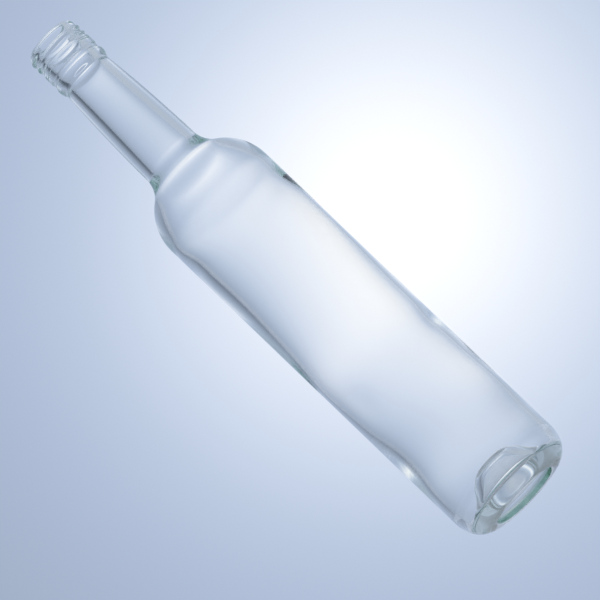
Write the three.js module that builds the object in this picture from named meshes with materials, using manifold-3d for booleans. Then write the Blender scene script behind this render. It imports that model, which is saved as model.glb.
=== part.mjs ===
// A tall round glass bottle for table oil, moulded in one piece, standing upright.
// Millimetres, +Z up, origin at the centre of the ring that the bottle stands on.
// +X is to the right of someone who faces the bottle along +Y.

import * as THREE from 'three';
import { mergeVertices } from 'three/addons/utils/BufferGeometryUtils.js';
import Module from 'manifold-3d';

// ---------------------------------------------------------------- driving dimensions

const HEIGHT = 346.5;             // standing surface to lip
const TURN_SEGMENTS = 48;         // flats round the bottle
const ARC_DIVISIONS = 3;          // steps in each bend of the outline

const base = {
  pushUp: 20.8,                   // height of the underside hollow
  pushUpCrown: 8,                 // radius of the hollow's rounded top
  pushUpCrownDrop: 1.2,           // how far that top falls to its edge
  pushUpPull: [18.2, 10.4],       // radius and height that the hollow's side is bent towards
  bearingInner: 20.2,             // where the hollow meets the flat standing ring
  bearingOuter: 22.6,             // where the ring runs into the heel
  heelHeight: 15.8,               // where the heel runs into the straight side
};

const body = {
  radius: 35,
  top: 221.5,                     // end of the straight side
  wall: 3.2,
};

const shoulder = {
  domeRadius: 29,                 // convex bend above the straight side
  filletRadius: 16.4,             // concave bend into the neck
  slope: THREE.MathUtils.degToRad(51.5),
};

const neck = {
  bottomRadius: 17.4,
  middleRadius: 17.1,             // pull of the slight belly
  topRadius: 14.6,
  middle: 290,
  top: 317.4,
};

const finish = {
  collarRadius: 16.1,
  collarBottom: 318.6,
  collarMiddle: 322.4,
  collarTop: 324.8,
  grooveRadius: 15.3,
  bandRadius: 15.8,               // smooth locking band under the threads
  bandBottom: 327.2,
  bandTop: 333.4,
  rootRadius: 15,                 // surface between the threads
  chamfer: 0.6,
  lipOuterRound: 3,
  lipInnerRound: 0.9,
};

const bore = {
  mouthRadius: 10.5,
  straightTo: 308,                // the bore is straight from the lip down to here
  neckBottomRadius: 13,
  neckBottom: 256,
  neckPull: 10.5,                 // reach of the bend at the foot of the neck
  shoulderPull: 18.5,             // reach of the bend at the top of the side
  shoulderFoot: 4.2,              // how far below the outer bend the inner one starts
};

const thread = {
  pitch: 4.3,
  turns: 1.85,
  start: 334.9,                   // height of the first turn's centre line
  startAngle: THREE.MathUtils.degToRad(-62),
  crestRadius: 15.95,
  beadRadius: 1.2,
  runOut: 0.1,                    // share of the length that sinks into the neck at each end
  runOutDepth: 1.5,
  stepsPerTurn: 24,
  sides: 8,
};

const floor = {
  top: 25.6,                      // top of the glass over the hollow
  coneTop: [12, 22.2],            // radius and height where the cone runs into its rounded top
  coneFoot: [24.4, 8.4],          // where the foot of the cone is bent towards
  channelRadius: 26.2,            // lowest ring inside
  channelHeight: 6.6,
  heelHeight: 30,                 // where the inner side wall becomes straight
};

// ---------------------------------------------------------------- outline

function addHollowAndHeel(path) {
  const crownEdge = base.pushUp - base.pushUpCrownDrop;
  path.moveTo(0, base.pushUp);
  path.quadraticCurveTo(base.pushUpCrown / 2, base.pushUp, base.pushUpCrown, crownEdge);
  path.quadraticCurveTo(base.pushUpPull[0], base.pushUpPull[1], base.bearingInner, 0);
  path.lineTo(base.bearingOuter, 0);
  path.absellipse(
    base.bearingOuter,
    base.heelHeight,
    body.radius - base.bearingOuter,
    base.heelHeight,
    -Math.PI / 2,
    0,
    false,
  );
}

function addShoulder(path) {
  const { domeRadius, filletRadius, slope } = shoulder;
  const domeCentre = body.radius - domeRadius;
  const domeEnd = new THREE.Vector2(
    domeCentre + domeRadius * Math.cos(slope),
    body.top + domeRadius * Math.sin(slope),
  );
  const filletWidth = filletRadius * (1 - Math.cos(slope));
  const slopeWidth = domeEnd.x - filletWidth - neck.bottomRadius;
  const slopeEnd = new THREE.Vector2(neck.bottomRadius + filletWidth, domeEnd.y + slopeWidth / Math.tan(slope));
  const filletCentreHeight = slopeEnd.y + filletRadius * Math.sin(slope);

  path.absarc(domeCentre, body.top, domeRadius, 0, slope, false);
  path.lineTo(slopeEnd.x, slopeEnd.y);
  path.absarc(
    neck.bottomRadius + filletRadius,
    filletCentreHeight,
    filletRadius,
    Math.PI + slope,
    Math.PI,
    true,
  );
}

function addFinish(path) {
  const { chamfer, collarRadius, grooveRadius, bandRadius, rootRadius, lipOuterRound, lipInnerRound } = finish;
  path.quadraticCurveTo(neck.middleRadius, neck.middle, neck.topRadius, neck.top);
  path.quadraticCurveTo(collarRadius, finish.collarBottom, collarRadius, finish.collarMiddle);
  path.lineTo(collarRadius, finish.collarTop - chamfer);
  path.lineTo(grooveRadius, finish.collarTop);
  path.lineTo(grooveRadius, finish.bandBottom - chamfer);
  path.lineTo(bandRadius, finish.bandBottom);
  path.lineTo(bandRadius, finish.bandTop);
  path.lineTo(rootRadius, finish.bandTop + chamfer);
  path.lineTo(rootRadius, HEIGHT - lipOuterRound);
  path.absarc(rootRadius - lipOuterRound, HEIGHT - lipOuterRound, lipOuterRound, 0, Math.PI / 2, false);
  path.lineTo(bore.mouthRadius + lipInnerRound, HEIGHT);
  path.absarc(
    bore.mouthRadius + lipInnerRound,
    HEIGHT - lipInnerRound,
    lipInnerRound,
    Math.PI / 2,
    Math.PI,
    false,
  );
}

function addInside(path) {
  const sideRadius = body.radius - body.wall;
  const [coneRadius, coneHeight] = floor.coneTop;
  path.lineTo(bore.mouthRadius, bore.straightTo);
  path.lineTo(bore.neckBottomRadius, bore.neckBottom);
  path.bezierCurveTo(
    bore.neckBottomRadius,
    bore.neckBottom - bore.neckPull,
    sideRadius,
    body.top + bore.shoulderPull,
    sideRadius,
    body.top - bore.shoulderFoot,
  );
  path.lineTo(sideRadius, floor.heelHeight);
  path.quadraticCurveTo(sideRadius, floor.channelHeight, floor.channelRadius, floor.channelHeight);
  path.quadraticCurveTo(floor.coneFoot[0], floor.coneFoot[1], coneRadius, coneHeight);
  path.quadraticCurveTo(coneRadius - (floor.top - coneHeight), floor.top, 0, floor.top);
}

function bottleOutline() {
  const path = new THREE.Path();
  addHollowAndHeel(path);
  path.lineTo(body.radius, body.top);
  addShoulder(path);
  addFinish(path);
  addInside(path);
  return path.getPoints(ARC_DIVISIONS);
}

// ---------------------------------------------------------------- thread

// A right-hand helix that dives into the neck wall at both ends.
class ThreadPath extends THREE.Curve {
  getPoint(t, target = new THREE.Vector3()) {
    const angle = thread.startAngle + t * thread.turns * 2 * Math.PI;
    const sink = Math.max(0, 1 - Math.min(t, 1 - t) / thread.runOut);
    const radius = thread.crestRadius - thread.beadRadius - thread.runOutDepth * sink * sink;
    const height = thread.start + t * thread.turns * thread.pitch;
    return target.set(radius * Math.cos(angle), radius * Math.sin(angle), height);
  }
}

function threadBead() {
  const section = new THREE.Shape();
  for (let side = 0; side < thread.sides; side += 1) {
    const angle = (2 * Math.PI * side) / thread.sides;
    const x = thread.beadRadius * Math.cos(angle);
    const y = thread.beadRadius * Math.sin(angle);
    if (side === 0) {
      section.moveTo(x, y);
    } else {
      section.lineTo(x, y);
    }
  }
  return new THREE.ExtrudeGeometry(section, {
    steps: Math.round(thread.turns * thread.stepsPerTurn),
    extrudePath: new ThreadPath(),
    bevelEnabled: false,
  });
}

// ---------------------------------------------------------------- joining solids

const wasm = await Module();
wasm.setup();

function toSolid(geometry) {
  const bare = geometry.clone();
  bare.deleteAttribute('normal');
  bare.deleteAttribute('uv');
  const merged = mergeVertices(bare, 1e-4);
  return new wasm.Manifold(new wasm.Mesh({
    numProp: 3,
    vertProperties: new Float32Array(merged.attributes.position.array),
    triVerts: new Uint32Array(merged.index.array),
  }));
}

function toGeometry(solid) {
  const mesh = solid.getMesh();
  const geometry = new THREE.BufferGeometry();
  geometry.setAttribute('position', new THREE.BufferAttribute(mesh.vertProperties, 3));
  geometry.setIndex(new THREE.BufferAttribute(mesh.triVerts, 1));
  geometry.computeVertexNormals();
  return geometry;
}

// ---------------------------------------------------------------- bottle

function makeBottle() {
  const turned = new THREE.LatheGeometry(bottleOutline(), TURN_SEGMENTS);
  turned.rotateX(Math.PI / 2);
  const moulded = toSolid(turned).add(toSolid(threadBead()));

  const clearGlass = new THREE.MeshStandardMaterial({
    color: 0xd6e6df,
    roughness: 0.04,
    metalness: 0,
    transparent: true,
    opacity: 0.35,
  });
  const bottle = new THREE.Mesh(toGeometry(moulded), clearGlass);
  bottle.name = 'bottle';
  return bottle;
}

const group = new THREE.Group();
group.add(makeBottle());

export default group;
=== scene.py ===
import math

import bpy
import numpy as np
from mathutils import Matrix, Vector


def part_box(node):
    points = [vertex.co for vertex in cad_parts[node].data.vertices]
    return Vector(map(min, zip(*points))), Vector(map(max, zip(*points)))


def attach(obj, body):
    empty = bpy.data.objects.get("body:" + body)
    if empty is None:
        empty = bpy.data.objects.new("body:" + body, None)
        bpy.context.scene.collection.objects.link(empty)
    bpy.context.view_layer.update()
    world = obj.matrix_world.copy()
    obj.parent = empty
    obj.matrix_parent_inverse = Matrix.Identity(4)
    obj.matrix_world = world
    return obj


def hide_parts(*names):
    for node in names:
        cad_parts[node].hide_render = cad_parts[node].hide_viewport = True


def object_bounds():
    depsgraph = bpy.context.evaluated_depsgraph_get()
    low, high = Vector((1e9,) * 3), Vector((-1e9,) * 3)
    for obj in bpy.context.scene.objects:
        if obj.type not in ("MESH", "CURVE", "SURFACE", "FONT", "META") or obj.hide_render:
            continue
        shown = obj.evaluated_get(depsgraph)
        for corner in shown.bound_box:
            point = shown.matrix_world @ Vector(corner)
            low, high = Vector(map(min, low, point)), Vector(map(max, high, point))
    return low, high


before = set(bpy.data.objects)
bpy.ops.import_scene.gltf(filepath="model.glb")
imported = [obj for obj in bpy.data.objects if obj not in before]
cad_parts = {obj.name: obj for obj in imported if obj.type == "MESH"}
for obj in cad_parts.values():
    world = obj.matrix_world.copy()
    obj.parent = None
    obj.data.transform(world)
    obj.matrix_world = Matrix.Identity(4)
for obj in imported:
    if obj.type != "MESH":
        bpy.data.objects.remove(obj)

# A tall round bottle for table oil, blown in one piece of clear glass, open and empty.
# The bottle is in millimetres until its mesh is made; the stage and the camera are in metres.
# A point of an outline is a radius and a height. The camera looks along +Y and a little up,
# and the thread starts a little to the right of its line of sight.

CAD_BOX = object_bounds()
_, BOTTLE_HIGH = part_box("bottle")
MM = 0.001
FULL_TURN = 2 * math.pi

# ---------------------------------------------------------------- outside of the bottle

HEIGHT = BOTTLE_HIGH[2] / MM
BODY_RADIUS = BOTTLE_HIGH[0] / MM
TURN_STEPS = 256

PUSH_UP = 20.8                       # height of the hollow under the base
CROWN_EDGE = (8.0, 19.6)             # where the hollow's rounded top ends
HOLLOW_PULLS = ((12.8, 14.6), (17.6, 7.4))
RIM_ROUND = 0.9
BEARING_INNER = 20.2                 # the flat ring that the bottle stands on
BEARING_OUTER = 22.6
HEEL_HEIGHT = 15.8

BODY_TOP = 221.5                     # end of the straight side
DOME_RADIUS = 29.0
FILLET_RADIUS = 16.4
SHOULDER_SLOPE = math.radians(51.5)

NECK_BOTTOM_RADIUS = 17.4
NECK_MIDDLE = (17.1, 290.0)          # pull of the slight belly
NECK_TOP = (14.6, 317.4)

COLLAR_RADIUS = 16.1
COLLAR_BOTTOM = 318.6
COLLAR_FOOT_PULL = 1.0               # how far the bend under the collar reaches up
COLLAR_MIDDLE = 322.4
COLLAR_FLAT = 1.0                    # height of its straight part
COLLAR_TOP = 324.8
COLLAR_TOP_PULLS = (0.6, 0.9)        # how far under the top the bend into the groove is pulled
GROOVE_RADIUS = 15.35
GROOVE_FOOT = 0.3                    # how far above the collar the groove becomes straight
BAND_RADIUS = 15.8                   # smooth locking band under the threads
BAND_BOTTOM = 327.2
BAND_BOTTOM_ROUND = 0.6
BAND_TOP = 333.4
BAND_TOP_ROUND = 0.4
ROOT_RADIUS = 15.0                   # surface between the threads
ROOT_FOOT = 0.7                      # how far above the band that surface becomes straight
LIP_OUTER_ROUND = 3.0
LIP_INNER_ROUND = 0.9

GROOVE_TOP_POINT = (GROOVE_RADIUS, BAND_BOTTOM - BAND_BOTTOM_ROUND)
ROOT_FOOT_POINT = (ROOT_RADIUS, BAND_TOP + ROOT_FOOT)

THREAD_PITCH = 4.3
THREAD_TURNS = 1.85
THREAD_START = 334.9                 # height of the first turn's centre line
THREAD_START_ANGLE = math.radians(-62)
THREAD_CREST = 0.95                  # how far the thread stands out
THREAD_HALF_WIDTH = 1.45
THREAD_RUN_OUT = 0.06                # turns over which each end rises
THREAD_MARGIN = 1.0                  # how far under the band's top the thread may reach

# ---------------------------------------------------------------- inside of the bottle

WALL = 3.2
INNER_RADIUS = BODY_RADIUS - WALL
INNER_SHOULDER_FOOT = 217.3          # top of the straight side
INNER_SHOULDER_PULL = 22.7
INNER_HEEL_HEIGHT = 30.0             # foot of the straight side

MOUTH_RADIUS = 10.5
BORE_STRAIGHT_TO = 318.0             # the bore is straight from the lip down to here
BORE_TOP_PULL = 18.0
BORE_NECK_BOTTOM = (13.0, 256.0)
BORE_SPREAD = 0.0375                 # how much it widens for each millimetre down, at that point
BORE_PULL_UP = 16.0
BORE_PULL_DOWN = 10.5

FLOOR_TOP = 25.6                     # top of the glass over the hollow
CONE_TOP = (11.4, 23.3)
CONE_FOOT = (24.6, 10.6)
CHANNEL = (27.6, 7.8)                # lowest ring inside

# How the blown wall departs from WALL round some heights: the height, how far up and down
# this reaches, the change all round, and how much further the inside lies towards +X.
WALL_CHANGES = (
    (182.0, 38.0, 0.0, 1.5),
    (113.0, 24.0, -1.0, -0.5),
    (56.0, 18.0, 0.2, 1.0),
)
# Small thick places in the side wall: direction in degrees, height, spread round the bottle
# in degrees, spread up and down, and added thickness.
WALL_DIMPLES = (
    (0, 98, 22, 6, 0.7),
    (183, 210, 24, 9, 0.6),
    (-2, 206, 20, 6, 0.5),
    (181, 58, 22, 12, 0.6),
    (228, 88, 14, 10, 0.35),
)
WALL_FADE = 15.0                     # how far from the ends of the side these changes fade out

# ---------------------------------------------------------------- glass

GLASS_IOR = 1.52
GLASS_TINT = (0.45, 0.74, 0.6, 1)
GLASS_DENSITY = 3.5
LIGHT_BOUNCES = 96                   # light goes to and fro many times in the thick base

# ---------------------------------------------------------------- stage and camera

TENT_RADIUS = 0.6
TENT_WALL = (-0.55, 0.75)            # foot of the tent's wall, and of its dome
TENT_STEPS = 96
TENT_COLOUR = (0.35, 0.42, 0.55, 1)
ROOM_COLOUR = TENT_COLOUR

FLOOR_RADIUS = 0.598
FLOOR_GAP = 0.0002                   # the table lies this far under the bottle
FLOOR_COLOUR = (0.74, 0.78, 0.84, 1)
FLOOR_GLOW = 0.22
FLOOR_ROUGHNESS = 0.35

TOP_COLOUR = (0.56, 0.6, 0.68, 1)
FILL_COLOUR = (0.48, 0.54, 0.62, 1)
FLAG_COLOUR = (0.07, 0.09, 0.12, 1)
HALO_COLOUR = (0.52, 0.64, 0.86, 1)
GLOW_COLOUR = (1.06, 1.07, 1.09, 1)
GLOW_PLACE = (0.067, 0.6, 0.278)
# Soft places on the tent, each over those before it: centre, spreads along X, Y and Z, colour.
TENT_SPOTS = (
    ((0.1, 0.1, 1.3), (0.4, 0.4, 0.3), TOP_COLOUR),
    ((0.52, 0.3, 0.2), (0.35, 0.4, 0.5), FILL_COLOUR),
    ((-0.56, 0.22, 0.32), (0.26, 0.32, 0.5), FLAG_COLOUR),
    (GLOW_PLACE, (0.25, 0.6, 0.25), HALO_COLOUR),
    (GLOW_PLACE, (0.13, 0.6, 0.13), GLOW_COLOUR),
)

LENS = 480.0
CAMERA_DISTANCE = 4.103
CAMERA_RISE = math.radians(-12.0)
CAMERA_ROLL = math.radians(46.22)
AIM = Vector((-0.0074, 0, 0.1551))


# ---------------------------------------------------------------- pieces of an outline


def straight(start, end, steps):
    """Points along a line, without its start."""
    share = np.linspace(0, 1, steps + 1)[1:, None]
    return np.array(start) * (1 - share) + np.array(end) * share


def arc(centre, radii, first_angle, last_angle, steps):
    """Points along an arc of a circle or an ellipse, without its start."""
    angle = np.linspace(first_angle, last_angle, steps + 1)[1:]
    return np.column_stack((centre[0] + radii[0] * np.cos(angle), centre[1] + radii[1] * np.sin(angle)))


def bend(start, pull_a, pull_b, end, steps):
    """Points along a cubic Bezier curve, without its start."""
    t = np.linspace(0, 1, steps + 1)[1:, None]
    s = 1 - t
    ends = s**3 * np.array(start) + t**3 * np.array(end)
    pulls = 3 * s * s * t * np.array(pull_a) + 3 * s * t * t * np.array(pull_b)
    return ends + pulls


def soft_bend(start, pull, end, steps):
    """Points along a quadratic Bezier curve, without its start."""
    start, pull, end = (np.array(p, float) for p in (start, pull, end))
    return bend(start, start + (pull - start) * 2 / 3, end + (pull - end) * 2 / 3, end, steps)


# ---------------------------------------------------------------- outline of the bottle


def hollow_and_heel():
    """From the centre of the underside, over the standing ring, to the top of the side."""
    rim = (BEARING_INNER - RIM_ROUND, RIM_ROUND)
    rim_pull = (BEARING_INNER - RIM_ROUND / 2, 0)
    heel_centre = (BEARING_OUTER, HEEL_HEIGHT)
    heel_radii = (BODY_RADIUS - BEARING_OUTER, HEEL_HEIGHT)
    return [
        soft_bend((0, PUSH_UP), (CROWN_EDGE[0] / 2, PUSH_UP), CROWN_EDGE, steps=10),
        bend(CROWN_EDGE, *HOLLOW_PULLS, rim, steps=18),
        soft_bend(rim, rim_pull, (BEARING_INNER, 0), steps=5),
        straight((BEARING_INNER, 0), (BEARING_OUTER, 0), steps=3),
        arc(heel_centre, heel_radii, -math.pi / 2, 0, steps=22),
        straight((BODY_RADIUS, HEEL_HEIGHT), (BODY_RADIUS, BODY_TOP), steps=12),
    ]


def shoulder():
    """From the side into the neck: a dome, a short slope and a fillet."""
    dome_centre = (BODY_RADIUS - DOME_RADIUS, BODY_TOP)
    dome_end = (
        dome_centre[0] + DOME_RADIUS * math.cos(SHOULDER_SLOPE),
        dome_centre[1] + DOME_RADIUS * math.sin(SHOULDER_SLOPE),
    )
    fillet_width = FILLET_RADIUS * (1 - math.cos(SHOULDER_SLOPE))
    slope_width = dome_end[0] - fillet_width - NECK_BOTTOM_RADIUS
    slope_end = (NECK_BOTTOM_RADIUS + fillet_width, dome_end[1] + slope_width / math.tan(SHOULDER_SLOPE))
    fillet_centre = (
        NECK_BOTTOM_RADIUS + FILLET_RADIUS,
        slope_end[1] + FILLET_RADIUS * math.sin(SHOULDER_SLOPE),
    )
    fillet_radii = (FILLET_RADIUS, FILLET_RADIUS)
    return [
        arc(dome_centre, (DOME_RADIUS, DOME_RADIUS), 0, SHOULDER_SLOPE, steps=20),
        straight(dome_end, slope_end, steps=3),
        arc(fillet_centre, fillet_radii, math.pi + SHOULDER_SLOPE, math.pi, steps=12),
    ]


def collar_and_groove():
    """From the top of the neck over the rounded collar, and up the groove above it."""
    collar_low = (COLLAR_RADIUS, COLLAR_MIDDLE - COLLAR_FLAT / 2)
    collar_high = (COLLAR_RADIUS, COLLAR_MIDDLE + COLLAR_FLAT / 2)
    groove_low = (GROOVE_RADIUS, COLLAR_TOP + GROOVE_FOOT)
    foot_pulls = ((NECK_TOP[0], COLLAR_BOTTOM), (COLLAR_RADIUS, COLLAR_BOTTOM + COLLAR_FOOT_PULL))
    high_pull, low_pull = COLLAR_TOP_PULLS
    top_pulls = ((COLLAR_RADIUS, COLLAR_TOP - high_pull), (GROOVE_RADIUS, COLLAR_TOP - low_pull))
    return [
        bend(NECK_TOP, *foot_pulls, collar_low, steps=12),
        straight(collar_low, collar_high, steps=3),
        bend(collar_high, *top_pulls, groove_low, steps=8),
        straight(groove_low, GROOVE_TOP_POINT, steps=3),
    ]


def locking_band():
    """From the groove over the smooth band to the foot of the threads."""
    band_low = (BAND_RADIUS, BAND_BOTTOM + BAND_BOTTOM_ROUND)
    band_high = (BAND_RADIUS, BAND_TOP - BAND_TOP_ROUND)
    low_pulls = ((GROOVE_RADIUS, BAND_BOTTOM), (BAND_RADIUS, BAND_BOTTOM))
    high_pulls = ((BAND_RADIUS, BAND_TOP), (ROOT_RADIUS, BAND_TOP))
    return [
        bend(GROOVE_TOP_POINT, *low_pulls, band_low, steps=6),
        straight(band_low, band_high, steps=6),
        bend(band_high, *high_pulls, ROOT_FOOT_POINT, steps=6),
    ]


def lip():
    """Up the surface between the threads and over the lip into the mouth."""
    outer_centre = (ROOT_RADIUS - LIP_OUTER_ROUND, HEIGHT - LIP_OUTER_ROUND)
    inner_centre = (MOUTH_RADIUS + LIP_INNER_ROUND, HEIGHT - LIP_INNER_ROUND)
    return [
        straight(ROOT_FOOT_POINT, (ROOT_RADIUS, HEIGHT - LIP_OUTER_ROUND), steps=46),
        arc(outer_centre, (LIP_OUTER_ROUND, LIP_OUTER_ROUND), 0, math.pi / 2, steps=12),
        straight((outer_centre[0], HEIGHT), (inner_centre[0], HEIGHT), steps=3),
        arc(inner_centre, (LIP_INNER_ROUND, LIP_INNER_ROUND), math.pi / 2, math.pi, steps=6),
    ]


def bore_and_inner_shoulder():
    """From the mouth down the bore, which widens in the neck, to the top of the inner side."""
    bore_top = (MOUTH_RADIUS, BORE_STRAIGHT_TO)
    top_pull = (MOUTH_RADIUS, BORE_STRAIGHT_TO - BORE_TOP_PULL)
    bore_radius, bore_bottom = BORE_NECK_BOTTOM
    above = (bore_radius - BORE_PULL_UP * BORE_SPREAD, bore_bottom + BORE_PULL_UP)
    below = (bore_radius + BORE_PULL_DOWN * BORE_SPREAD, bore_bottom - BORE_PULL_DOWN)
    side_pull = (INNER_RADIUS, INNER_SHOULDER_FOOT + INNER_SHOULDER_PULL)
    return [
        straight((MOUTH_RADIUS, HEIGHT - LIP_INNER_ROUND), bore_top, steps=10),
        bend(bore_top, top_pull, above, BORE_NECK_BOTTOM, steps=18),
        bend(BORE_NECK_BOTTOM, below, side_pull, (INNER_RADIUS, INNER_SHOULDER_FOOT), steps=26),
    ]


def inner_side_and_floor():
    """Down the inner side, round the channel, and up the cone to the middle of the floor."""
    side_foot = (INNER_RADIUS, INNER_HEEL_HEIGHT)
    channel_height = CHANNEL[1]
    foot_radius, foot_height = CONE_FOOT
    foot_pull = (foot_radius + foot_height - channel_height, channel_height)
    cone_radius, cone_height = CONE_TOP
    cone_pull = (cone_radius - (FLOOR_TOP - cone_height), FLOOR_TOP)
    return [
        straight((INNER_RADIUS, INNER_SHOULDER_FOOT), side_foot, steps=44),
        soft_bend(side_foot, (INNER_RADIUS, channel_height), CHANNEL, steps=14),
        soft_bend(CHANNEL, foot_pull, CONE_FOOT, steps=8),
        straight(CONE_FOOT, CONE_TOP, steps=10),
        soft_bend(CONE_TOP, cone_pull, (0, FLOOR_TOP), steps=12),
    ]


def bottle_outline():
    """The outline's points from pole to pole, and how many of them lie outside."""
    outer = hollow_and_heel() + shoulder()
    neck_bottom = outer[-1][-1]
    outer.append(soft_bend(neck_bottom, NECK_MIDDLE, NECK_TOP, steps=22))
    outer += collar_and_groove() + locking_band() + lip()
    outer_points = np.vstack([np.array([[0, PUSH_UP]])] + outer)
    inner = bore_and_inner_shoulder() + inner_side_and_floor()
    return np.vstack([outer_points] + inner), len(outer_points)


# ---------------------------------------------------------------- relief


def thread_relief(angle, height):
    """How far the thread stands out of the neck."""
    share = ((angle - THREAD_START_ANGLE) / FULL_TURN) % 1
    relief = np.zeros(np.broadcast(angle, height).shape)
    for turn in range(math.ceil(THREAD_TURNS)):
        along = share + turn
        centre = THREAD_START + THREAD_PITCH * along
        across = np.clip(np.abs(height - centre) / THREAD_HALF_WIDTH, 0, 1)
        start = np.clip(along / THREAD_RUN_OUT, 0, 1)
        stop = np.clip((THREAD_TURNS - along) / THREAD_RUN_OUT, 0, 1)
        bead = THREAD_CREST * (1 - across**2) ** 1.5 * np.sqrt(start * stop)
        relief = np.maximum(relief, bead)
    return relief


def wall_swell(angle, height):
    """How much thicker than its usual thickness the blown wall is, from place to place."""
    swell = np.zeros(np.broadcast(angle, height).shape)
    for middle, reach, change, shift in WALL_CHANGES:
        swell = swell + (change - shift * np.cos(angle)) * np.exp(-((height - middle) / reach) ** 2)
    for direction, middle, round_spread, up_spread, change in WALL_DIMPLES:
        turn = (np.degrees(angle) - direction + 180) % 360 - 180
        swell = swell + change * np.exp(-(turn / round_spread) ** 2 - ((height - middle) / up_spread) ** 2)
    return swell


def with_thread(radius, height, angle, outer_count):
    """The radii, with the thread on the outside under the lip."""
    on_thread = (height > BAND_TOP - THREAD_MARGIN) & (height < HEIGHT - LIP_OUTER_ROUND / 2)
    on_thread[outer_count:] = False
    return radius + np.where(on_thread, thread_relief(angle, height), 0)


def with_blown_wall(radius, height, angle, outer_count):
    """The radii, with the unevenness of blown glass on the inner side."""
    on_wall = (height > INNER_HEEL_HEIGHT) & (height < INNER_SHOULDER_FOOT)
    on_wall[:outer_count] = False
    from_ends = np.minimum(height - INNER_HEEL_HEIGHT, INNER_SHOULDER_FOOT - height)
    fade = np.clip(from_ends / WALL_FADE, 0, 1)
    ease = fade * fade * (3 - 2 * fade)
    return radius - np.where(on_wall, ease * wall_swell(angle, height), 0)


# ---------------------------------------------------------------- mesh


def turned_grid(radius, height, steps):
    """Points and faces of a surface turned round the Z axis, from a pole to a pole.

    Each row of radius and height is a ring; the first and last rows shrink to points.
    """
    angle = np.linspace(0, FULL_TURN, steps, endpoint=False)[None, :]
    ring_radius = np.broadcast_to(radius[1:-1], (len(radius) - 2, steps))
    ring_height = np.broadcast_to(height[1:-1], (len(height) - 2, steps))
    rings = np.stack((ring_radius * np.cos(angle), ring_radius * np.sin(angle), ring_height), axis=-1)
    poles = [[0, 0, float(height[0].mean())], [0, 0, float(height[-1].mean())]]
    points = rings.reshape(-1, 3).tolist() + poles

    here = np.arange(steps)
    after = np.roll(here, -1)
    rows = np.arange(len(rings) - 1)[:, None] * steps
    quads = np.stack((rows + here, rows + after, rows + steps + after, rows + steps + here), axis=-1)
    faces = [tuple(quad) for quad in quads.reshape(-1, 4).tolist()]
    first_pole = len(rings) * steps
    top = (len(rings) - 1) * steps
    for a, b in zip(here.tolist(), after.tolist()):
        faces.append((first_pole, b, a))
        faces.append((first_pole + 1, top + a, top + b))
    return points, faces


def turned_bottle(outline, outer_count):
    """The bottle's mesh in metres, with its thread and its uneven wall."""
    angle = np.linspace(0, FULL_TURN, TURN_STEPS, endpoint=False)[None, :]
    radius = np.repeat(outline[:, 0:1], TURN_STEPS, axis=1)
    height = np.repeat(outline[:, 1:2], TURN_STEPS, axis=1)
    radius = with_thread(radius, height, angle, outer_count)
    radius = with_blown_wall(radius, height, angle, outer_count)
    points, faces = turned_grid(radius * MM, height * MM, TURN_STEPS)
    mesh = bpy.data.meshes.new("glass_bottle")
    mesh.from_pydata(points, [], faces)
    mesh.polygons.foreach_set("use_smooth", [True] * len(mesh.polygons))
    mesh.update()
    mesh.validate()
    return mesh


# ---------------------------------------------------------------- materials


def new_material(name):
    """A material with no nodes in it yet."""
    material = bpy.data.materials.new(name)
    material.use_nodes = True
    material.node_tree.nodes.clear()
    return material


def clear_glass():
    """Flint glass: clear where it is thin and faintly green where it is thick."""
    material = new_material("clear_glass")
    nodes = material.node_tree.nodes
    links = material.node_tree.links
    output = nodes.new("ShaderNodeOutputMaterial")
    surface = nodes.new("ShaderNodeBsdfPrincipled")
    surface.inputs["Base Color"].default_value = (1, 1, 1, 1)
    surface.inputs["Roughness"].default_value = 0.0
    surface.inputs["IOR"].default_value = GLASS_IOR
    surface.inputs["Transmission Weight"].default_value = 1
    depth = nodes.new("ShaderNodeVolumeAbsorption")
    depth.inputs["Color"].default_value = GLASS_TINT
    depth.inputs["Density"].default_value = GLASS_DENSITY
    links.new(surface.outputs["BSDF"], output.inputs["Surface"])
    links.new(depth.outputs["Volume"], output.inputs["Volume"])
    return material


def show_one_side(material, shader):
    """Show the shader on the side that the faces point to, and nothing on the other side."""
    nodes = material.node_tree.nodes
    links = material.node_tree.links
    output = nodes.new("ShaderNodeOutputMaterial")
    side = nodes.new("ShaderNodeNewGeometry")
    clear = nodes.new("ShaderNodeBsdfTransparent")
    choice = nodes.new("ShaderNodeMixShader")
    links.new(side.outputs["Backfacing"], choice.inputs["Fac"])
    links.new(shader.outputs[0], choice.inputs[1])
    links.new(clear.outputs["BSDF"], choice.inputs[2])
    links.new(choice.outputs["Shader"], output.inputs["Surface"])


def floor_material():
    """A pale satin table that glows a little."""
    material = new_material("pale_floor")
    table = material.node_tree.nodes.new("ShaderNodeBsdfPrincipled")
    table.inputs["Base Color"].default_value = FLOOR_COLOUR
    table.inputs["Roughness"].default_value = FLOOR_ROUGHNESS
    table.inputs["Emission Color"].default_value = FLOOR_COLOUR
    table.inputs["Emission Strength"].default_value = FLOOR_GLOW
    show_one_side(material, table)
    return material


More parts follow.
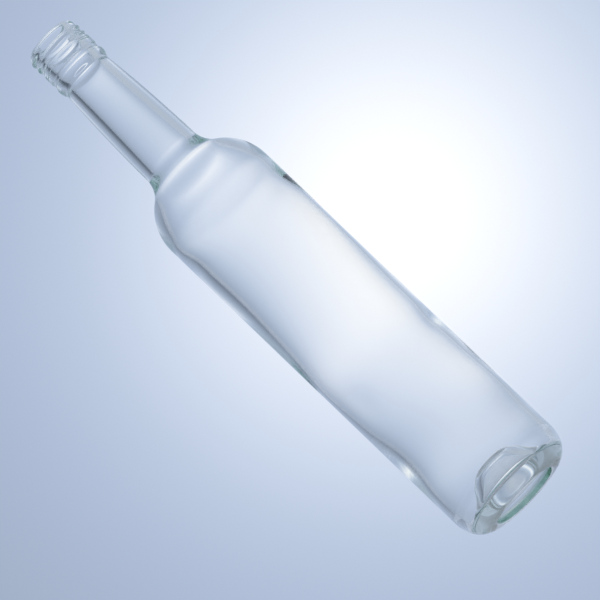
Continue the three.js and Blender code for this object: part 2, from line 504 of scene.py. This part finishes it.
def soft_spot(material, centre, spreads):
    """A value that is 1 at a place on the tent and fades smoothly round it."""
    nodes = material.node_tree.nodes
    links = material.node_tree.links
    place = nodes.new("ShaderNodeTexCoord")
    offset = nodes.new("ShaderNodeVectorMath")
    offset.operation = "SUBTRACT"
    offset.inputs[1].default_value = centre
    scaled = nodes.new("ShaderNodeVectorMath")
    scaled.operation = "DIVIDE"
    scaled.inputs[1].default_value = spreads
    squared = nodes.new("ShaderNodeVectorMath")
    squared.operation = "DOT_PRODUCT"
    negative = nodes.new("ShaderNodeMath")
    negative.operation = "MULTIPLY"
    negative.inputs[1].default_value = -1
    spot = nodes.new("ShaderNodeMath")
    spot.operation = "EXPONENT"
    links.new(place.outputs["Object"], offset.inputs[0])
    links.new(offset.outputs["Vector"], scaled.inputs[0])
    links.new(scaled.outputs["Vector"], squared.inputs[0])
    links.new(scaled.outputs["Vector"], squared.inputs[1])
    links.new(squared.outputs["Value"], negative.inputs[0])
    links.new(negative.outputs["Value"], spot.inputs[0])
    return spot.outputs["Value"]


def tent_material():
    """Glowing cloth: pale blue-grey, with soft lighter and darker places."""
    material = new_material("light_tent")
    nodes = material.node_tree.nodes
    links = material.node_tree.links
    colour = None
    for centre, spreads, spot_colour in TENT_SPOTS:
        blend = nodes.new("ShaderNodeMix")
        blend.data_type = "RGBA"
        links.new(soft_spot(material, centre, spreads), blend.inputs["Factor"])
        if colour is None:
            blend.inputs["A"].default_value = TENT_COLOUR
        else:
            links.new(colour, blend.inputs["A"])
        blend.inputs["B"].default_value = spot_colour
        colour = blend.outputs["Result"]
    cloth = nodes.new("ShaderNodeEmission")
    links.new(colour, cloth.inputs["Color"])
    show_one_side(material, cloth)
    return material


# ---------------------------------------------------------------- bottle


def make_bottle():
    """The whole bottle, in place of its CAD solid."""
    outline, outer_count = bottle_outline()
    bottle = bpy.data.objects.new("glass_bottle", turned_bottle(outline, outer_count))
    bottle.data.materials.append(clear_glass())
    bpy.context.scene.collection.objects.link(bottle)
    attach(bottle, "root")
    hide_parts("bottle")


# ---------------------------------------------------------------- stage


def make_floor():
    """A round table top that shows only from above."""
    angle = np.linspace(0, FULL_TURN, TENT_STEPS, endpoint=False)
    flat = np.zeros(TENT_STEPS)
    rim = np.column_stack((FLOOR_RADIUS * np.cos(angle), FLOOR_RADIUS * np.sin(angle), flat))
    mesh = bpy.data.meshes.new("floor")
    mesh.from_pydata(rim.tolist(), [], [tuple(range(TENT_STEPS))])
    mesh.materials.append(floor_material())
    floor = bpy.data.objects.new("floor", mesh)
    floor.location.z = CAD_BOX[0][2] - FLOOR_GAP
    bpy.context.scene.collection.objects.link(floor)


def make_tent():
    """A round light tent with a domed top, its faces pointing in."""
    low, high = TENT_WALL
    outline = np.vstack([
        np.array([[0, low]]),
        straight((0, low), (TENT_RADIUS, low), steps=4),
        straight((TENT_RADIUS, low), (TENT_RADIUS, high), steps=12),
        arc((0, high), (TENT_RADIUS, TENT_RADIUS), 0, math.pi / 2, steps=16),
    ])
    points, faces = turned_grid(outline[:, 0:1], outline[:, 1:2], TENT_STEPS)
    mesh = bpy.data.meshes.new("light_tent")
    mesh.from_pydata(points, [], [face[::-1] for face in faces])
    mesh.materials.append(tent_material())
    tent = bpy.data.objects.new("light_tent", mesh)
    bpy.context.scene.collection.objects.link(tent)


def make_room():
    """What lies outside the tent: an even tone like the tent's own."""
    room = bpy.data.worlds.new("room")
    bpy.context.scene.world = room
    room.use_nodes = True
    room.node_tree.nodes["Background"].inputs["Color"].default_value = ROOM_COLOUR


# ---------------------------------------------------------------- camera


def make_camera():
    """A camera that looks up at the bottle, rolled so that it leans to the upper left of the picture."""
    back = Vector((0, -math.cos(CAMERA_RISE), math.sin(CAMERA_RISE)))
    level_right = Vector((1, 0, 0))
    level_up = back.cross(level_right)
    right = level_right * math.cos(CAMERA_ROLL) - level_up * math.sin(CAMERA_ROLL)
    up = level_right * math.sin(CAMERA_ROLL) + level_up * math.cos(CAMERA_ROLL)
    turn = Matrix((right, up, back)).transposed().to_4x4()
    data = bpy.data.cameras.new("camera")
    data.lens = LENS
    camera = bpy.data.objects.new("camera", data)
    camera.matrix_world = Matrix.Translation(AIM + back * CAMERA_DISTANCE) @ turn
    bpy.context.scene.collection.objects.link(camera)
    bpy.context.scene.camera = camera


def set_picture():
    """Plain colours, and enough light paths for the glass."""
    scene = bpy.context.scene
    scene.view_settings.view_transform = "Standard"
    scene.cycles.max_bounces = LIGHT_BOUNCES
    scene.cycles.transmission_bounces = LIGHT_BOUNCES
    scene.cycles.glossy_bounces = LIGHT_BOUNCES


# ---------------------------------------------------------------- scene

make_bottle()
make_floor()
make_tent()
make_room()
make_camera()
set_picture()
